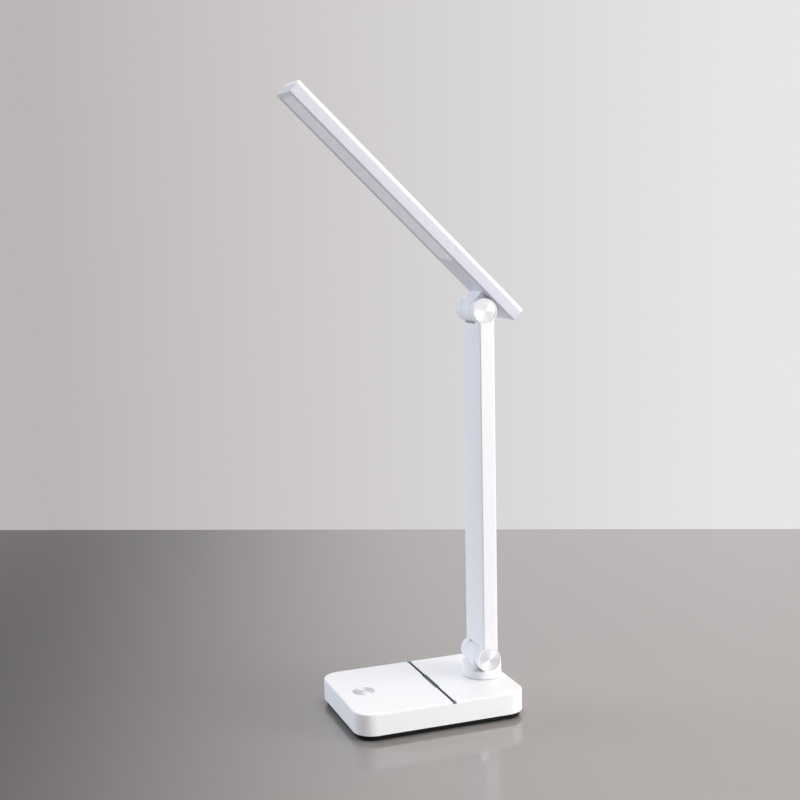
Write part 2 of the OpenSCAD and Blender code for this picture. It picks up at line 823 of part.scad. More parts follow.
module hinge_nut() {
    difference() {
        translate([0, pin_seat_y + pin_head_t / 2, 0]) rotate([90, 0, 0])
            cylinder(r = pin_head_r, h = pin_head_t, center = true, $fn = 6);
        rod_y(pin_r + pin_fit, arm_w);
    }
}

module friction_washers() {
    for (s = [-1, 1]) difference() {
        rod_y_from(friction_washer_r, s * barrel_w / 2, s * cheek_in);
        rod_y(pin_r + snug_fit, 2 * (cheek_in + over));
    }
}

module hinge_caps() {
    for (s = [-1, 1]) rod_y_from(cap_r, s * cap_y, s * (cap_y + cap_t));
}

module lower_hinge_pin() {
    color("silver") in_arm() hinge_pin();
}

module lower_hinge_nut() {
    color("silver") in_arm() hinge_nut();
}

module lower_friction_washers() {
    color("gray") in_arm() friction_washers();
}

module lower_hinge_caps() {
    color("gainsboro") in_arm() hinge_caps();
}

module upper_hinge_pin() {
    color("silver") at_upper_hinge() hinge_pin();
}

module upper_hinge_nut() {
    color("silver") at_upper_hinge() hinge_nut();
}

module upper_friction_washers() {
    color("gray") at_upper_hinge() friction_washers();
}

module upper_hinge_caps() {
    color("gainsboro") at_upper_hinge() hinge_caps();
}

// ---- arm ----

module eye_pair() {
    for (s = [-1, 1]) rod_y_from(eye_r, s * cheek_in, s * cheek_out);
}

// bores through both eyes: the pin's hole, the head and nut seats, and the cap seats
module eye_bores() {
    rod_y(pin_r + pin_fit, arm_w + 2 * over);
    for (s = [-1, 1]) {
        rod_y_from(cap_r - cap_ledge, s * pin_seat_y, s * (cheek_out + over));
        rod_y_from(cap_r + pin_fit, s * cap_y, s * (cheek_out + over));
    }
}

// section of the arm, its crowned front towards -X
module arm_section() {
    translate([arm_edge_x, -arm_w / 2]) square([arm_t / 2 - arm_edge_r - arm_edge_x, arm_w]);
    translate([0, -arm_edge_y]) square([arm_t / 2, 2 * arm_edge_y]);
    for (y = [-arm_edge_y, arm_edge_y]) {
        translate([arm_edge_x, y]) circle(arm_edge_r);
        translate([arm_t / 2 - arm_edge_r, y]) circle(arm_edge_r);
    }
    intersection() {
        translate([crown_x, 0]) circle(crown_r, $fn = crown_fn);
        translate([-arm_t / 2 - arm_crown - over, -crown_half_w])
            square([arm_t / 2 + arm_crown + over, 2 * crown_half_w]);
    }
}

module arm_frame() {
    color("whitesmoke") in_arm() difference() {
        union() {
            translate([arm_offset, 0, 0])
                linear_extrude(arm_l) arm_section();
            eye_pair();
            translate([0, 0, arm_l]) eye_pair();
        }
        // fork slots
        for (z = [-eye_r - over, arm_l - slot_end])
            translate([-eye_r - over, -cheek_in, z])
                cube([2 * (eye_r + over), 2 * cheek_in, slot_end + eye_r + over]);
        eye_bores();
        translate([0, 0, arm_l]) eye_bores();
        // hollow behind the front wall, and the wider seat of the back cover
        translate([arm_offset + arm_wall - arm_t / 2, -channel_w / 2, channel_end])
            cube([arm_t, channel_w, arm_l - 2 * channel_end]);
        translate([cover_x, -cover_w / 2, channel_end - arm_ledge])
            cube([arm_t, cover_w, arm_l - 2 * channel_end + 2 * arm_ledge]);
        // wire holes in the two end walls
        translate([arm_offset, 0, slot_end - over])
            cylinder(r = passage_r, h = arm_l - 2 * (slot_end - over));
    }
}

module arm_back_cover() {
    len = arm_l - 2 * channel_end + 2 * arm_ledge - 2 * snug_fit;
    color("whitesmoke") in_arm() {
        translate([cover_x, -cover_w / 2 + snug_fit, channel_end - arm_ledge + snug_fit])
            cube([arm_cover_t, cover_w - 2 * snug_fit, len]);
        // snap ribs that grip the hollow's side walls
        for (s = [-1, 1], k = [0.2, 0.5, 0.8])
            translate([cover_x - snap_rib_h,
                       s * (channel_w / 2 - snug_fit - rib_t / 2) - rib_t / 2,
                       channel_end + k * (arm_l - 2 * channel_end) - snap_rib_l / 2])
                cube([snap_rib_h + eps, rib_t, snap_rib_l]);
    }
}

module arm_wire() {
    color("white") in_arm() translate([arm_offset, 0, slot_end + wire_end])
        cylinder(r = wire_r, h = arm_l - 2 * (slot_end + wire_end));
}

// ---- lamp head ----

module head_bracket() {
    color("whitesmoke") in_head() difference() {
        union() {
            rod_y(eye_r, barrel_w);
            translate([-eye_r, -barrel_w / 2, 0]) cube([2 * eye_r, barrel_w, head_z]);
            translate([-spigot_l / 2, -spigot_w / 2, head_z - eps])
                cube([spigot_l, spigot_w, frame_floor + eps]);
        }
        rod_y(pin_r + pin_fit, barrel_w + 2 * over);
        for (s = [-1, 1])
            translate([s * clamp_screw_x, 0, clamp_z - clamp_screw_reach - screw_hole_spare])
                cylinder(r = small_screw_r + pin_fit,
                         h = clamp_screw_reach + screw_hole_spare + eps);
    }
}

module bracket_clamp() {
    color("silver") in_head() difference() {
        translate([0, 0, clamp_z]) plate(clamp_l, clamp_w, clamp_corner_r, clamp_t);
        for (s = [-1, 1]) translate([s * clamp_screw_x, 0, clamp_z - eps])
            cylinder(r = small_screw_r + snug_fit, h = clamp_t + 2 * eps);
    }
}

module bracket_screws() {
    color("silver") in_head() for (s = [-1, 1])
        translate([s * clamp_screw_x, 0, clamp_z + clamp_t]) mirror([0, 0, 1])
            small_screw(clamp_t + clamp_screw_reach);
}

module head_frame() {
    color("whitesmoke") in_head() difference() {
        union() {
            translate([head_mid_x, 0, head_z])
                soft_bar(head_l, head_w, frame_side_h, 0, head_low_edge_r);
            translate([head_mid_x, 0, cover_z - eps])
                plate(head_l - 2 * frame_rim_out, head_w - 2 * frame_rim_out,
                      head_inner_r - snug_fit, frame_rim_h + eps);
        }
        translate([head_mid_x, 0, frame_floor_z])
            plate(head_l - 2 * frame_rim_in, head_w - 2 * frame_rim_in,
                  head_inner_r - snug_fit - frame_rim_t, head_t);
        // light window
        translate([window_x, 0, head_z - eps])
            plate(window_l, window_w, window_corner_r, frame_floor + 2 * eps);
        // hole for the bracket's spigot
        translate([-spigot_l / 2 - pin_fit, -spigot_w / 2 - pin_fit, head_z - eps])
            cube([spigot_l + 2 * pin_fit, spigot_w + 2 * pin_fit, frame_floor + 2 * eps]);
    }
}

module head_cover() {
    color("white") in_head() {
        difference() {
            translate([head_mid_x, 0, cover_z])
                soft_bar(head_l, head_w, head_top_z - cover_z, head_top_edge_r, 0);
            translate([head_mid_x, 0, cover_z - eps])
                plate(head_l - 2 * head_wall, head_w - 2 * head_wall,
                      head_inner_r, head_ceiling_z - cover_z + eps);
        }
        // ribs that carry the LED board
        for (k = [-1, 0, 1])
            translate([window_x + k * led_board_l * 0.4 - rib_t / 2, -led_board_w / 2,
                       led_board_z + led_board_t])
                cube([rib_t, led_board_w, led_board_rib_h + eps]);
    }
}

module diffuser() {
    color("antiquewhite") in_head() translate([window_x, 0, 0]) {
        translate([0, 0, diffuser_z])
            plate(diffuser_l, diffuser_w, window_corner_r, diffuser_t);
        // the face that fills the light window
        translate([0, 0, head_z + diffuser_recess])
            plate(window_l - 2 * snug_fit, window_w - 2 * snug_fit, window_corner_r - snug_fit,
                  frame_floor - diffuser_recess + eps);
    }
}

module led_board() {
    color("gainsboro") in_head() translate([window_x, 0, led_board_z])
        plate(led_board_l, led_board_w, led_board_corner_r, led_board_t);
}

module leds() {
    color("khaki") in_head() for (k = [0 : led_count - 1], s = [-1, 1])
        translate([window_x + (k - (led_count - 1) / 2) * led_pitch - led_l / 2,
                   s * led_board_w / 4 - led_w / 2, led_board_z - led_t])
            cube([led_l, led_w, led_t]);
}

module head_wire() {
    color("white") in_head()
        translate([-clamp_l / 2 - wire_end, 0, led_board_z - wire_r - snug_fit])
            rotate([0, -90, 0])
                cylinder(r = wire_r, h = window_gap - clamp_l / 2 + head_wire_lap);
}

base_shell();
base_plate();
anti_slip_pad();
base_screws();
ballast_plate();
battery_foam();
battery();
control_board();
board_screws();
switch_body();
switch_plunger();
button_cap();
button_ring();
groove_liner();
charging_socket();
socket_board();
turntable();
slide_washer();
stop_washer();
spindle_nut();
lower_hinge_pin();
lower_hinge_nut();
lower_friction_washers();
lower_hinge_caps();
arm_frame();
arm_back_cover();
arm_wire();
upper_hinge_pin();
upper_hinge_nut();
upper_friction_washers();
upper_hinge_caps();
head_bracket();
bracket_clamp();
bracket_screws();
head_frame();
head_cover();
diffuser();
led_board();
leds();
head_wire();
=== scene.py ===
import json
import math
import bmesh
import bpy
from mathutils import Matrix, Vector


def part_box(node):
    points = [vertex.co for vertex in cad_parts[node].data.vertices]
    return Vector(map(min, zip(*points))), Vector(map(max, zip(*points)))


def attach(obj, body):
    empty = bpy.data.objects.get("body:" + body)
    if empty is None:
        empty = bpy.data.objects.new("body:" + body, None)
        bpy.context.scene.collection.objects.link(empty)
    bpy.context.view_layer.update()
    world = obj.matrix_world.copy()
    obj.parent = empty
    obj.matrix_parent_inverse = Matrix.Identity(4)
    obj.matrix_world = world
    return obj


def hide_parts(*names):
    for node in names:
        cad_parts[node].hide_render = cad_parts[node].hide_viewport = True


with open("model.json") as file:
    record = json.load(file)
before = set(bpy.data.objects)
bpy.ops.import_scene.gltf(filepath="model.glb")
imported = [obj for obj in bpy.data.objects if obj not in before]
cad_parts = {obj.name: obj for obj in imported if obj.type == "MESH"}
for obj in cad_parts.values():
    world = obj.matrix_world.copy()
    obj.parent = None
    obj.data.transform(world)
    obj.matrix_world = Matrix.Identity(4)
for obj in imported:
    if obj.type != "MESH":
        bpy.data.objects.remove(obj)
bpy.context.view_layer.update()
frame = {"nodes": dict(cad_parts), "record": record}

# %% [markdown]
# # A folding desk lamp: looks for a finished assembly
#
# The solids of the lamp are loaded above as a fixed frame: a base with a battery, a post that
# swivels, a slim arm with a hinge at each end, and a long flat head. This lesson gives each
# of them the finish of the real thing, and models the small turned and stamped pieces whose
# edges catch the light. Nothing in the frame is moved, so the joints keep working.

nodes = frame["nodes"]
record = frame["record"]
MM = 0.001


def linear(hex_colour):
    """A colour written as in any paint program, turned to the linear values a shader wants."""
    parts = [int(hex_colour[k:k + 2], 16) / 255 for k in (1, 3, 5)]
    return [p / 12.92 if p <= 0.04045 else ((p + 0.055) / 1.055) ** 2.4 for p in parts] + [1.0]


def add(tree, kind, inputs=None, **settings):
    """Adds one node. Each input gets a value, or a link if it is given another node's output.

    An input is named, or counted where names repeat: a Mix node of colours takes its factor
    at 0 and its two colours at 6 and 7, and gives the mixed colour as output 2.
    """
    node = tree.nodes.new(kind)
    for name, value in settings.items():
        setattr(node, name, value)
    for key, value in (inputs or {}).items():
        if isinstance(value, bpy.types.NodeSocket):
            tree.links.new(value, node.inputs[key])
        else:
            node.inputs[key].default_value = value
    return node


def start_material(name):
    """An empty material, with the place where its surface goes and the Object coordinates."""
    material = bpy.data.materials.new(name)
    material.use_nodes = True
    tree = material.node_tree
    tree.nodes.clear()
    output = add(tree, "ShaderNodeOutputMaterial")
    place = add(tree, "ShaderNodeTexCoord").outputs["Object"]
    return material, tree, output, place


def finish_surface(tree, output, inputs):
    """The surface itself, with its constants set on its own sockets."""
    shader = add(tree, "ShaderNodeBsdfPrincipled", inputs)
    tree.links.new(shader.outputs[0], output.inputs["Surface"])


def paint(material, *names):
    """Puts a material on nodes of the frame."""
    for name in names:
        mesh = nodes[name].data
        mesh.materials.clear()
        mesh.materials.append(material)
    print(material.name, "on", ", ".join(names))


def middle(name):
    """The middle of a node, which for a round one is a point on its axis."""
    low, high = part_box(name)
    return Vector([(a + b) / 2 for a, b in zip(low, high)])


# %% [markdown]
# ## The camera
#
# The lamp is seen from its near side, a little from the button end and from above, with a
# lens of about 60 mm. The camera is rolled by about one degree, as a hand-held one is. Its
# matrix is built from the three directions it sees: right, up and back.

# %% Camera
AZIMUTH, ELEVATION, ROLL = (math.radians(a) for a in (-19.924, 8.256, -1.23))
CAMERA_PLACE = Vector((-0.35045, -0.93147, 0.38816))
LENS_MM, SENSOR_MM = 59.877, 36
back = Vector((math.sin(AZIMUTH) * math.cos(ELEVATION), -math.cos(AZIMUTH) * math.cos(ELEVATION),
               math.sin(ELEVATION)))
level_right = (-back).cross(Vector((0, 0, 1))).normalized()
level_up = level_right.cross(-back)
right = level_right * math.cos(ROLL) + level_up * math.sin(ROLL)
up = level_up * math.cos(ROLL) - level_right * math.sin(ROLL)
camera_data = bpy.data.cameras.new("camera")
camera_data.sensor_width = SENSOR_MM
camera_data.lens = LENS_MM
camera = bpy.data.objects.new("camera", camera_data)
bpy.context.scene.collection.objects.link(camera)
camera.matrix_world = Matrix((
    (right.x, up.x, back.x, CAMERA_PLACE.x), (right.y, up.y, back.y, CAMERA_PLACE.y),
    (right.z, up.z, back.z, CAMERA_PLACE.z), (0, 0, 0, 1)))
bpy.context.scene.camera = camera
print("lens", round(camera_data.lens, 1), "mm, camera at", [round(v, 3) for v in CAMERA_PLACE])

# %% [markdown]
# ## Light
#
# Glossy white plastic shows its shape by how its faces differ, so each face gets its own
# light. The key, a wide soft box, stands low and far off on the right in front. It lights
# the long side evenly from bottom to top, and the turned caps at a slant. A cooler panel
# stands behind on the left, like a window, and lights the end with the button and the wide
# face of the arm. The round corner between them gets little of either and turns grey, which
# draws it. A dim white card in front has little effect on plastic, but the turned metal
# mirrors it. A small panel high up behind draws the wedge on the button, and a soft one
# overhead lights the tops. Panels are placed by azimuth and elevation as seen from the
# lamp, so one number moves one light. The camera doesn't see them, and nothing mirrors the
# window, because its reflection would whiten the head's tip.

# %% Panels of light and the air around them
LAMP_MIDDLE = Vector((0.03, 0, 0.16))


def panel(name, azimuth, elevation, distance, size, power, colour, mirrored=True):
    """A rectangle of light that faces the lamp, with distance and size in metres.

    Azimuth 0 is in front of the long side, 90 beyond the hinge end. Power is in watts.
    """
    a, e = math.radians(azimuth), math.radians(elevation)
    away = Vector((math.sin(a) * math.cos(e), -math.cos(a) * math.cos(e), math.sin(e)))
    data = bpy.data.lights.new(name, "AREA")
    data.shape = "RECTANGLE"
    data.size, data.size_y = size
    data.energy = power
    data.color = linear(colour)[:3]
    lamp = bpy.data.objects.new(name, data)
    lamp.location = LAMP_MIDDLE + away * distance
    lamp.rotation_euler = (-away).to_track_quat("-Z", "Y").to_euler()
    lamp.visible_camera = False
    lamp.visible_glossy = mirrored
    bpy.context.scene.collection.objects.link(lamp)


panel("key_box", 52, 8, 4.0, (1.9, 1.0), 111, "#FFFEFF")
panel("window", -138, 14, 5.0, (3.6, 2.3), 186, "#DCEEFF", mirrored=False)
panel("front_card", 25, 3, 1.6, (1.3, 1.0), 3.6, "#FFFFFF")
panel("glint", 162, 38, 1.9, (0.6, 0.4), 4, "#FFFFFF")
panel("ceiling", 50, 72, 1.9, (1.4, 1.4), 14, "#FFF8E6")

world = bpy.data.worlds.new("studio_air")
bpy.context.scene.world = world
world.use_nodes = True
air = world.node_tree
air.nodes.clear()
sky = add(air, "ShaderNodeBackground", {"Color": linear("#FAF8FC"), "Strength": 0.49})
air_out = add(air, "ShaderNodeOutputWorld")
air.links.new(sky.outputs[0], air_out.inputs["Surface"])
bpy.context.scene.view_settings.view_transform = "Standard"

# %% [markdown]
# ## Table and walls
#
# They are stage, not part of the lamp. The table is a grey lacquered board that mirrors the
# base as soft streaks, so its roughness is low but not zero. It ends behind the lamp, and
# the wall stands 2 m behind. A side wall on the left and one on the right, in front of the
# key, give a plain ground to views from other sides. Table and wall carry painted shade: their
# colour gets darker towards the left, as the shade away from the key would. The camera sees
# that painted shade on the table, while the light that it sends up to the lamp stays even.
# The walls show their own plain colour to the camera and in reflections, whatever the lights
# do. They cast no shadow, so the key and the window behind them light the lamp, and yet the
# table mirrors plain walls.

# %% Materials of the stage
# Two points on the table's far edge, in metres, give the way that table and wall run.
EDGE_LEFT, EDGE_RIGHT = Vector((-0.270, 0.763, 0)), Vector((0.617, 0.355, 0))
along = (EDGE_RIGHT - EDGE_LEFT).normalized()
inward = Vector((along.y, -along.x, 0))
# how far to the right, in metres, each painted shade runs from its dark end to its light end
TABLE_PAINTED_SHADE, WALL_PAINTED_SHADE = (-0.44, 0.06), (-1.02, 0.61)

table_board, tree, output, place = start_material("grey_lacquered_board_painted_shade")
across = add(tree, "ShaderNodeVectorMath", {0: place, 1: level_right}, operation="DOT_PRODUCT")
# painted shade: the table's colour darkens towards the left, away from the key, for the camera
# only
painted_shade_ramp = add(tree, "ShaderNodeMapRange", {"Value": across.outputs["Value"],
                                        "From Min": TABLE_PAINTED_SHADE[0], "From Max": TABLE_PAINTED_SHADE[1]},
           interpolation_type="SMOOTHSTEP")
tone = add(tree, "ShaderNodeMix", {0: painted_shade_ramp.outputs[0], 6: linear("#2C2A2C"),
                                   7: linear("#9F9B99")}, data_type="RGBA")
ray = add(tree, "ShaderNodeLightPath")
shown = add(tree, "ShaderNodeMix", {0: ray.outputs["Is Camera Ray"], 6: linear("#ACA8A6"),
                                    7: tone.outputs[2]}, data_type="RGBA")
finish_surface(tree, output, {"Base Color": shown.outputs[2], "Roughness": 0.11,
                              "Specular IOR Level": 1.0})

wall_paint, tree, output, place = start_material("matt_wall_paint_painted_shade")
across = add(tree, "ShaderNodeVectorMath", {0: place, 1: along}, operation="DOT_PRODUCT")
# painted shade: the walls' colour darkens towards the left, away from the key
painted_shade_ramp = add(tree, "ShaderNodeMapRange", {"Value": across.outputs["Value"],
                                        "From Min": WALL_PAINTED_SHADE[0], "From Max": WALL_PAINTED_SHADE[1]})
tone = add(tree, "ShaderNodeMix", {0: painted_shade_ramp.outputs[0], 6: linear("#BBB6B6"),
                                   7: linear("#E8E6E7")}, data_type="RGBA")
matt = add(tree, "ShaderNodeBsdfDiffuse", {"Color": tone.outputs[2]})
plain = add(tree, "ShaderNodeEmission", {"Color": tone.outputs[2], "Strength": 1.0})
ray = add(tree, "ShaderNodeLightPath")
seen = add(tree, "ShaderNodeMath", {0: ray.outputs["Is Camera Ray"],
                                    1: ray.outputs["Is Glossy Ray"]}, operation="MAXIMUM")
shown = add(tree, "ShaderNodeMixShader", {0: seen.outputs[0], 1: matt.outputs[0],
                                          2: plain.outputs[0]})
tree.links.new(shown.outputs[0], output.inputs["Surface"])
wall_paint.cycles.emission_sampling = "NONE"  # the walls glow for the eye but light nothing
print("stage finishes:", table_board.name, "and", wall_paint.name)

# %% Table and walls
TABLE_BEYOND, TABLE_DEPTH, WALL_BEHIND = 3, 6, 1.5
WALL_FOOT, WALL_TOP = Vector((0, 0, -1.5)), Vector((0, 0, 3))
SIDE_WALL_L = 3
# The key stands at azimuth 52, so the right wall is square to that direction, 3.2 m away.
RIGHT_WALL_MIDDLE, RIGHT_WALL_HALF = Vector((2.55, -1.97, 0)), Vector((0.616, 0.788, 0)) * 2.2


def flat_stage(name, corners, material):
    """One flat face that belongs to the stage."""
    shape = bmesh.new()
    shape.faces.new([shape.verts.new(c) for c in corners])
    mesh = bpy.data.meshes.new(name)
    shape.to_mesh(mesh)
    shape.free()
    mesh.materials.append(material)
    thing = bpy.data.objects.new(name, mesh)
    bpy.context.scene.collection.objects.link(thing)
    return thing


def standing_wall(name, start, end):
    """A wall between two points on the table's level. It casts no shadow."""
    thing = flat_stage(name, (start + WALL_FOOT, end + WALL_FOOT, end + WALL_TOP,
                              start + WALL_TOP), wall_paint)
    thing.visible_shadow = False


far_a, far_b = EDGE_LEFT - along * TABLE_BEYOND, EDGE_RIGHT + along * TABLE_BEYOND
depth = inward * TABLE_DEPTH
flat_stage("table_top", (far_a, far_a + depth, far_b + depth, far_b), table_board)
wall_a, wall_b = far_a - inward * WALL_BEHIND, far_b - inward * WALL_BEHIND
standing_wall("wall", wall_a, wall_b)
standing_wall("side_wall", wall_a + inward * SIDE_WALL_L, wall_a)
standing_wall("right_wall", RIGHT_WALL_MIDDLE + RIGHT_WALL_HALF,
              RIGHT_WALL_MIDDLE - RIGHT_WALL_HALF)
print("table and walls stand in the scene")

# %% [markdown]
# ## White moulded shells
#
# The base, arm and head cover are injection-moulded ABS, polished in the mould. What that
# gives the eye: a clean white, slightly cool, a soft gloss, and the faint waviness
# that plastic keeps where it shrank while cooling. The wave is about 6 mm long and only
# 4 micrometres high, so it just softens the reflections. The head's lower frame is
# moulded in a milky, slightly violet polycarbonate, so beside the white it looks pearly.

# %% Moulded plastics
def moulded_plastic(name, light, dark, roughness, wave_mm, wave_height):
    """A polished plastic whose surface waves by wave_height over wave_mm, both in mm."""
    material, tree, output, place = start_material(name)
    wave = add(tree, "ShaderNodeTexNoise", {"Vector": place, "Scale": 1 / (wave_mm * MM),
                                            "Detail": 2.0, "Roughness": 0.4})
    tone = add(tree, "ShaderNodeMix", {0: wave.outputs[0], 6: linear(light),
                                       7: linear(dark)}, data_type="RGBA")
    rough = add(tree, "ShaderNodeMapRange", {"Value": wave.outputs[0],
                                             "To Min": roughness - 0.03,
                                             "To Max": roughness + 0.03})
    bump = add(tree, "ShaderNodeBump", {"Height": wave.outputs[0], "Strength": 1.0,
                                        "Distance": wave_height * MM})
    finish_surface(tree, output, {"Base Color": tone.outputs[2],
                                  "Roughness": rough.outputs[0], "IOR": 1.53,
                                  "Normal": bump.outputs["Normal"]})
    return material


white_abs = moulded_plastic("gloss_white_abs", "#F4F4F6", "#F1F1F3", 0.33, 6.0, 0.004)
pearl_polycarbonate = moulded_plastic("pearl_polycarbonate", "#DADAE5", "#D6D6E2", 0.3, 6.0,
                                      0.004)
print("moulded plastics:", white_abs.name, "and", pearl_polycarbonate.name)

# %% [markdown]
# ## Edges as they leave the mould
#
# No moulded edge is perfectly sharp: the mould's corners are cut with a small radius, and
# that thin line is what catches light along every edge. A solid from the frame comes as
# loose triangles with sharp edges, so for each shell we copy it, join the triangles to whole
# faces, and let a Bevel modifier round the edges that are sharper than 30 degrees by a few
# tenths of a millimetre: least on the base, whose large edges are round in the solid
# already, and most on the head's two shells. The copy then stands for the node, and its flat
# faces keep flat shading because the bevel hardens the normals.

# %% Shells with eased edges
def body_of(name):
    """The body that a node of the frame rides on."""
    return next(b for b, members in record["behaviour"]["bodies"].items() if name in members)


def stand_for(name, thing, material):
    """The new thing takes the place, body and material slot of a node."""
    thing.data.materials.clear()
    thing.data.materials.append(material)
    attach(thing, body_of(name))
    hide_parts(name)
    print(thing.name, "for", name, "with", len(thing.data.polygons), "faces")


def new_thing(name, shape):
    """An object at the origin, with the finished shape in its mesh."""
    mesh = bpy.data.meshes.new(name)
    shape.to_mesh(mesh)
    shape.free()
    thing = bpy.data.objects.new(name, mesh)
    bpy.context.scene.collection.objects.link(thing)
    return thing


SHARP, FLAT = math.radians(30), math.radians(0.5)


def eased(name, width_mm, material):
    """A copy of a node whose sharp edges are rounded by width_mm."""
    shape = bmesh.new()
    shape.from_mesh(nodes[name].data)
    bmesh.ops.remove_doubles(shape, verts=shape.verts, dist=0.001 * MM)
    bmesh.ops.dissolve_limit(shape, angle_limit=FLAT, verts=shape.verts, edges=shape.edges)
    for face in shape.faces:
        face.smooth = True
    for edge in shape.edges:
        edge.smooth = edge.calc_face_angle(0) < SHARP
    thing = new_thing("eased_" + name, shape)
    bevel = thing.modifiers.new("eased_edges", "BEVEL")
    bevel.width = width_mm * MM
    bevel.segments = 2
    bevel.limit_method = "ANGLE"
    bevel.angle_limit = SHARP
    bevel.harden_normals = True
    bevel.use_clamp_overlap = True
    stand_for(name, thing, material)


eased("base_shell", 0.12, white_abs)
for node_name in ("turntable", "arm_frame", "arm_back_cover", "head_bracket"):
    eased(node_name, 0.3, white_abs)
eased("head_cover", 0.5, white_abs)
eased("head_frame", 0.5, pearl_polycarbonate)

# %% [markdown]
# ## Black plate, rubber pad and rubber-lined groove
#
# The bottom plate is black ABS with a spark-eroded texture, a fine random grain of about
# 0.3 mm that keeps it dull. Rubber is duller still, and its black is never quite black. The
# pad's silicone is pressed in a coarse mould, with a grain of 0.8 mm, and the slate rubber
# of the groove in a finer one of 0.5 mm.

# %% Black ABS and rubber
def grained(name, light, dark, roughness, grain_mm, grain_height, gloss=0.5):
    """A dull surface with a random grain of grain_mm, grain_height deep, both in mm."""
    material, tree, output, place = start_material(name)
    grain = add(tree, "ShaderNodeTexNoise", {"Vector": place, "Scale": 1 / (grain_mm * MM),
                                             "Detail": 4.0, "Roughness": 0.6})
    tone = add(tree, "ShaderNodeMix", {0: grain.outputs[0], 6: linear(dark),
                                       7: linear(light)}, data_type="RGBA")
    bump = add(tree, "ShaderNodeBump", {"Height": grain.outputs[0], "Strength": 0.6,
                                        "Distance": grain_height * MM})
    finish_surface(tree, output, {"Base Color": tone.outputs[2], "Roughness": roughness,
                                  "Specular IOR Level": gloss,
                                  "Normal": bump.outputs["Normal"]})
    return material


black_abs = grained("spark_eroded_black_abs", "#0A0A0C", "#050507", 0.45, 0.3, 0.03, 0.2)
pad_rubber = grained("black_silicone_rubber", "#2B2B2D", "#1D1D1F", 0.75, 0.8, 0.05)
groove_rubber = grained("slate_rubber", "#5D6771", "#464F58", 0.6, 0.5, 0.02)
eased("base_plate", 0.3, black_abs)
paint(black_abs, "switch_body", "switch_plunger")
paint(pad_rubber, "anti_slip_pad")
paint(groove_rubber, "groove_liner")

# %% [markdown]
# ## Spun aluminium
#
# The hinge caps and the button are faced on a lathe. The tool leaves rings about 0.05 mm
# apart, too fine to see, but together they spread each highlight outward across the rings,
# so bright wedges run out from the centre on both sides. In the shader this is anisotropy
# with a tangent that points outward from the axis. A few coarser rings, 0.5 mm apart so that
# they show at all, make the wedges streaky. The metallic value stays well below 1, which
# keeps the aluminium pale where it mirrors nothing bright.

# %% Turned metal about an axis
COARSE_RINGS = 0.5 * MM


def turned_metal(name, axis, centre, roughness, anisotropy, metallic=0.5,
                 light="#F1F1F3", dark="#DEDEE2"):
    """Metal faced on a lathe about an axis through the centre."""
    material, tree, output, place = start_material(name)
    arm = add(tree, "ShaderNodeVectorMath", {0: place, 1: tuple(centre)}, operation="SUBTRACT")
    circling = add(tree, "ShaderNodeVectorMath", {0: arm.outputs[0], 1: axis},
                   operation="CROSS_PRODUCT")
    outward = add(tree, "ShaderNodeVectorMath", {0: axis, 1: circling.outputs[0]},
                  operation="CROSS_PRODUCT")
    radius = add(tree, "ShaderNodeVectorMath", {0: circling.outputs[0]}, operation="LENGTH")
    tangent = add(tree, "ShaderNodeVectorTransform", {"Vector": outward.outputs[0]},
                  vector_type="VECTOR", convert_from="OBJECT", convert_to="WORLD")
    rings = add(tree, "ShaderNodeTexNoise", {"W": radius.outputs["Value"],
                                             "Scale": 1 / COARSE_RINGS, "Detail": 3.0},
                noise_dimensions="1D")
    tone = add(tree, "ShaderNodeMix", {0: rings.outputs[0], 6: linear(light),
                                       7: linear(dark)}, data_type="RGBA")
    rough = add(tree, "ShaderNodeMapRange", {"Value": rings.outputs[0],
                                             "To Min": roughness - 0.06,
                                             "To Max": roughness + 0.06})
    finish_surface(tree, output, {"Base Color": tone.outputs[2], "Metallic": metallic,
                                  "Roughness": rough.outputs[0], "Anisotropic": anisotropy,
                                  "Tangent": tangent.outputs[0]})
    return material


# %% [markdown]
# ## Turned pieces
#
# A cap is a disc of sheet metal: the lathe leaves a shallow dimple where the tool stops at
# the centre, and breaks the outer corner with a small chamfer. Spinning the half profile
# once round the axis makes all of it, which is also how the real one gets its shape. The
# profile is a short list of (radius, height) pairs, worked out from the size of the node.

# %% Lathe
def turned(shape, profile, centre, axis, steps=96):
    """Spins a profile of (radius, height) pairs round an axis through the centre."""
    axis = Vector(axis)
    out = axis.orthogonal().normalized()
    points = [shape.verts.new(centre + out * r + axis * h) for r, h in profile]
    edges = [shape.edges.new(pair) for pair in zip(points, points[1:])]
    bmesh.ops.spin(shape, geom=points + edges, cent=centre, axis=axis, dvec=(0, 0, 0),
                   angle=2 * math.pi, steps=steps, use_merge=True, use_duplicate=False)


def close_turned(name, shape):
    """Joins doubles at the poles, points all faces outward and smooths the round ones."""
    bmesh.ops.remove_doubles(shape, verts=shape.verts, dist=0.0005 * MM)
    bmesh.ops.recalc_face_normals(shape, faces=shape.faces)
    for face in shape.faces:
        face.smooth = True
    for edge in shape.edges:
        edge.smooth = edge.calc_face_angle(0) < SHARP
    return new_thing(name, shape)


def cap_profile(radius, thickness):
    """Half of a cap's section, from its back to the dimple in its face."""
    chamfer, dimple_r, dimple_depth, dish = 0.35 * MM, 0.7 * MM, 0.18 * MM, 0.05 * MM
    return [(0, 0), (radius, 0), (radius, thickness - chamfer),
            (radius - chamfer, thickness), (dimple_r, thickness - dish),
            (0, thickness - dish - dimple_depth)]


CAP_THICKNESS = 1.3 * MM


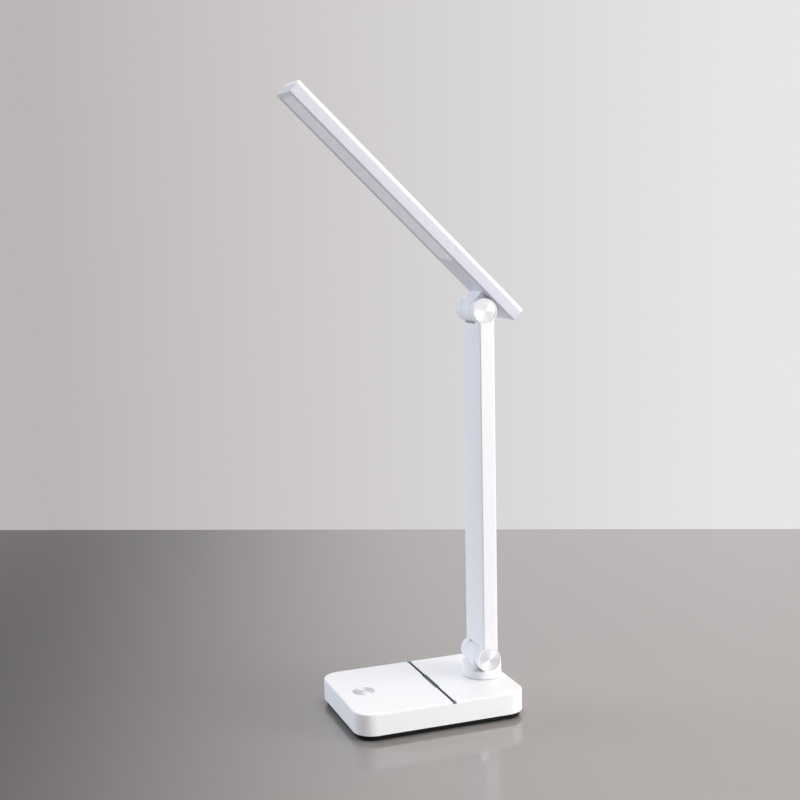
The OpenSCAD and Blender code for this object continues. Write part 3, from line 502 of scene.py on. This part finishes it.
def turned_caps(name):
    """Both caps of a hinge, which face outward along Y."""
    low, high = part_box(name)
    axis_point = middle(name)
    radius = (high[2] - low[2]) / 2
    shape = bmesh.new()
    for side, face_y in ((-1, low[1]), (1, high[1])):
        seat = Vector((axis_point.x, face_y - side * CAP_THICKNESS, axis_point.z))
        turned(shape, cap_profile(radius, CAP_THICKNESS), seat, (0, side, 0))
    metal = turned_metal("spun_aluminium_" + name, (0, 1, 0), axis_point, 0.5, 0.85, 0.42)
    stand_for(name, close_turned("turned_" + name, shape), metal)


turned_caps("lower_hinge_caps")
turned_caps("upper_hinge_caps")

# %% [markdown]
# ## The button and its ring
#
# The button's face is spun like the caps. Below it a flange, wider than the hole, keeps it in
# the shell, and a stem reaches down to the switch. The ring round it is cut with a diamond
# tool, which leaves it almost a mirror, and its top is slightly domed.

# %% Button and ring
RING_WALL, FACE_GAP = 0.9 * MM, 0.2 * MM


def button_piece():
    """The button with its flange and stem, from the stem's foot to the dimple."""
    low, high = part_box("button_cap")
    centre = middle("button_cap")
    axis_point = Vector((centre.x, centre.y, 0))
    flange_r = (high[0] - low[0]) / 2
    ring_low, ring_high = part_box("button_ring")
    face_r = (ring_high[0] - ring_low[0]) / 2 - RING_WALL - FACE_GAP
    stem_r, stem_l, flange_t = 2 * MM, 1.1 * MM, 0.7 * MM
    chamfer, dimple_r, dimple_depth = 0.25 * MM, 0.6 * MM, 0.15 * MM
    flange_z = low[2] + stem_l
    profile = [(0, low[2]), (stem_r, low[2]), (stem_r, flange_z), (flange_r, flange_z),
               (flange_r, flange_z + flange_t), (face_r, flange_z + flange_t),
               (face_r, high[2] - chamfer), (face_r - chamfer, high[2]),
               (dimple_r, high[2]), (0, high[2] - dimple_depth)]
    shape = bmesh.new()
    turned(shape, profile, axis_point, (0, 0, 1))
    metal = turned_metal("spun_aluminium_button", (0, 0, 1), centre, 0.5, 0.9, 0.55,
                         "#E6E6E8", "#D4D4D8")
    stand_for("button_cap", close_turned("turned_button", shape), metal)


def ring_piece():
    """The ring round the button, with a domed top."""
    low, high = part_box("button_ring")
    centre = middle("button_ring")
    axis_point = Vector((centre.x, centre.y, 0))
    outer_r = (high[0] - low[0]) / 2
    inner_r = outer_r - RING_WALL
    crown, steps = 0.15 * MM, 6
    arc = [(outer_r - (outer_r - inner_r) * k / steps,
            high[2] - crown + crown * math.sin(math.pi * k / steps)) for k in range(steps + 1)]
    profile = [(inner_r, low[2]), (outer_r, low[2])] + arc + [(inner_r, low[2])]
    shape = bmesh.new()
    turned(shape, profile, axis_point, (0, 0, 1))
    metal = turned_metal("diamond_cut_aluminium", (0, 0, 1), centre, 0.3, 0.3, 0.3,
                         "#FAFAFB", "#F2F2F4")
    stand_for("button_ring", close_turned("turned_button_ring", shape), metal)


button_piece()
ring_piece()

# %% [markdown]
# ## Screws under the base
#
# The four screws that hold the plate are seen only when the lamp is turned over. Each is
# turned like the caps, and its cross recess comes from the round one: the points of the
# recess are drawn in towards the centre, except along the two arms of the cross. The places
# and the shank's radius are measured on the node. Their steel is zinc plated, which gives a
# cool grey, half-bright metal.

# %% Screws
zinc_steel = turned_metal("zinc_plated_screw_steel", (0, 0, 1), (0, 0, 0), 0.35, 0.0, 1.0,
                          "#C9CBCD", "#B4B6B9")


def screw_places(name):
    """The points and the centre of each screw, one in each quarter of the base."""
    points = [v.co for v in nodes[name].data.vertices]
    groups = [[p for p in points if (p.x > 0) == east and (p.y > 0) == north]
              for east in (False, True) for north in (False, True)]
    return groups, [sum(group, Vector()) / len(group) for group in groups]


def screws_piece():
    """Four screws, head down, each with a cross recess."""
    low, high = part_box("base_screws")
    length, head_t, break_w = high[2] - low[2], 1.4 * MM, 0.3 * MM
    recess_r, recess_depth, floor, drawn_in = 1.5 * MM, 0.7 * MM, 0.8, 0.4
    shape = bmesh.new()
    groups, centres = screw_places("base_screws")
    for group, centre in zip(groups, centres):
        foot = Vector((centre.x, centre.y, low[2]))
        reach = [(math.hypot(p.x - foot.x, p.y - foot.y), p.z) for p in group]
        head_r = max(r for r, z in reach)
        shank_r = max(r for r, z in reach if z > high[2] - break_w)
        profile = [(0, length), (shank_r, length), (shank_r, head_t), (head_r, head_t),
                   (head_r, break_w), (head_r - break_w, 0), (recess_r, 0),
                   (recess_r * floor, recess_depth), (0, recess_depth)]
        turned(shape, profile, foot, (0, 0, 1))
        for vert in shape.verts:
            out = vert.co - foot
            if 0 < math.hypot(out.x, out.y) < recess_r * 1.01 and out.z < recess_depth * 1.01:
                arm = abs(math.cos(2 * math.atan2(out.y, out.x))) ** 3
                share = drawn_in + (1 - drawn_in) * arm
                vert.co = foot + Vector((out.x * share, out.y * share, out.z))
    stand_for("base_screws", close_turned("cross_recess_screws", shape), zinc_steel)


screws_piece()

# %% [markdown]
# ## The tongue in the charging socket
#
# Inside the charging socket at the hinge end stands a thin tongue, with four contacts on each
# face. The tongue is moulded in nylon filled with glass fibre, so it is dull and near black.
# The contacts are plated with gold, and stay warm and bright in the dark mouth.

# %% Tongue and contacts
def block(shape, centre, size):
    """A box of a given size round a centre."""
    made = bmesh.ops.create_cube(shape, size=1.0)["verts"]
    bmesh.ops.scale(shape, vec=size, verts=made)
    bmesh.ops.translate(shape, vec=centre, verts=made)


def inner_piece(name, shape, material, body):
    """A new piece that stands for no node of the frame."""
    thing = new_thing(name, shape)
    thing.data.materials.append(material)
    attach(thing, body)
    print(name, "with", len(thing.data.polygons), "faces")


def speckled(name, light, dark, speck_mm, roughness, metallic=0.0):
    """A plain surface with two close tones in specks of speck_mm."""
    material, tree, output, place = start_material(name)
    speck = add(tree, "ShaderNodeTexNoise", {"Vector": place, "Scale": 1 / (speck_mm * MM)})
    tone = add(tree, "ShaderNodeMix", {0: speck.outputs[0], 6: linear(light),
                                       7: linear(dark)}, data_type="RGBA")
    finish_surface(tree, output, {"Base Color": tone.outputs[2], "Roughness": roughness,
                                  "Metallic": metallic})
    return material


low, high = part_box("charging_socket")
mouth = middle("charging_socket")
tongue_w, tongue_t, tongue_l = 6.2 * MM, 0.7 * MM, (high[0] - low[0]) * 0.7
tongue_in, tongue_edge = 0.8 * MM, 0.12 * MM
tongue = bmesh.new()
block(tongue, (high[0] - tongue_in - tongue_l / 2, mouth.y, mouth.z),
      (tongue_l, tongue_w, tongue_t))
bmesh.ops.bevel(tongue, geom=tongue.edges, offset=tongue_edge, segments=2, profile=0.5,
                affect="EDGES", material=-1)
black_nylon = speckled("black_glass_filled_nylon", "#1B1B1D", "#101012", 0.2, 0.5)
inner_piece("socket_tongue", tongue, black_nylon, "base")

contact_l, contact_w, contact_t, contact_pitch = 2.6 * MM, 0.45 * MM, 0.06 * MM, 1.4 * MM
contact_in, contact_rise = 2.6 * MM, 0.02 * MM
contacts = bmesh.new()
for side in (-1, 1):
    for k in range(4):
        block(contacts, (high[0] - contact_in, mouth.y + (k - 1.5) * contact_pitch,
                         mouth.z + side * (tongue_t / 2 + contact_rise)),
              (contact_l, contact_w, contact_t))
gold_plate = speckled("gold_plated_contacts", "#D9B25C", "#CFA64E", 0.4, 0.3, 1.0)
inner_piece("socket_contacts", contacts, gold_plate, "base")

# %% [markdown]
# ## Light window
#
# The diffuser is a sheet of opal acrylic. Switched off, it is a greyish white with a soft
# sheen, and the rows of lights behind it do not show. A fine prism pattern, one pyramid
# each 1.2 mm, is pressed in its face.

# %% Opal acrylic
PRISM_PITCH = 1.2 * MM
opal, tree, output, place = start_material("opal_acrylic_sheet")
prisms = add(tree, "ShaderNodeTexVoronoi", {"Vector": place, "Scale": 1 / PRISM_PITCH},
             distance="CHEBYCHEV")
tone = add(tree, "ShaderNodeMix", {0: prisms.outputs["Distance"], 6: linear("#F6F6F9"),
                                   7: linear("#EEEEF2")}, data_type="RGBA")
bump = add(tree, "ShaderNodeBump", {"Height": prisms.outputs["Distance"], "Strength": 0.25,
                                    "Distance": 0.05 * MM})
finish_surface(tree, output, {"Base Color": tone.outputs[2], "Roughness": 0.2,
                              "IOR": 1.49, "Subsurface Weight": 0.2, "Subsurface Scale": 0.002,
                              "Normal": bump.outputs["Normal"]})
paint(opal, "diffuser")

# %% [markdown]
# ## Pieces inside
#
# Most show only when the lamp is opened, and each is still finished as what it is: zinc
# plated steel, green circuit board, white PVC wire, foam, a wrapped battery cell, nylon and
# pressed fibre washers. The metal keeps fine streaks from rolling, all along X here: 0.4 mm
# apart on the steel, and wider on the foil of the cell.

# %% Materials of the inner pieces
def brushed_metal(name, light, dark, roughness, streak_mm):
    """Metal with streaks along X, streak_mm apart."""
    material, tree, output, place = start_material(name)
    # scaling X down draws the pattern out, to streaks about 17 times as long as wide
    stretch = add(tree, "ShaderNodeMapping", {"Vector": place, "Scale": (0.06, 1, 1)})
    streaks = add(tree, "ShaderNodeTexNoise", {"Vector": stretch.outputs[0],
                                               "Scale": 1 / (streak_mm * MM), "Detail": 3.0})
    tone = add(tree, "ShaderNodeMix", {0: streaks.outputs[0], 6: linear(dark),
                                       7: linear(light)}, data_type="RGBA")
    rough = add(tree, "ShaderNodeMapRange", {"Value": streaks.outputs[0],
                                             "To Min": roughness - 0.05,
                                             "To Max": roughness + 0.08})
    finish_surface(tree, output, {"Base Color": tone.outputs[2], "Metallic": 1.0,
                                  "Roughness": rough.outputs[0]})
    return material


plated_steel = brushed_metal("zinc_plated_steel", "#C9CBCD", "#B4B6B9", 0.32, 0.4)
led_aluminium = brushed_metal("white_faced_aluminium", "#E4E4E2", "#DADAD8", 0.45, 0.6)
battery_wrap = brushed_metal("pouch_cell_foil", "#A7ABB0", "#979BA1", 0.35, 1.5)
green_board = grained("solder_mask_on_glass_epoxy", "#14573A", "#0E432C", 0.35, 1.0, 0.02)
foam_black = grained("closed_cell_foam", "#3A3A3C", "#242426", 0.9, 0.7, 0.2)
white_pvc = moulded_plastic("white_pvc_wire_cover", "#E9E9E6", "#E2E2DF", 0.4, 2.0, 0.01)
nylon = moulded_plastic("natural_nylon", "#E6E3D8", "#DEDACD", 0.45, 1.5, 0.01)
fibre = grained("pressed_fibre_washer", "#6D655B", "#554E46", 0.8, 0.4, 0.05)
phosphor = grained("led_phosphor_in_silicone", "#EBD27A", "#DFC263", 0.5, 0.3, 0.01)
paint(plated_steel, "ballast_plate", "board_screws", "stop_washer", "spindle_nut",
      "lower_hinge_pin", "lower_hinge_nut", "upper_hinge_pin", "upper_hinge_nut",
      "bracket_clamp", "bracket_screws", "charging_socket")
paint(led_aluminium, "led_board")
paint(battery_wrap, "battery")
paint(green_board, "control_board", "socket_board")
paint(foam_black, "battery_foam")
paint(white_pvc, "arm_wire", "head_wire")
paint(nylon, "slide_washer")
paint(fibre, "lower_friction_washers", "upper_friction_washers")
paint(phosphor, "leds")
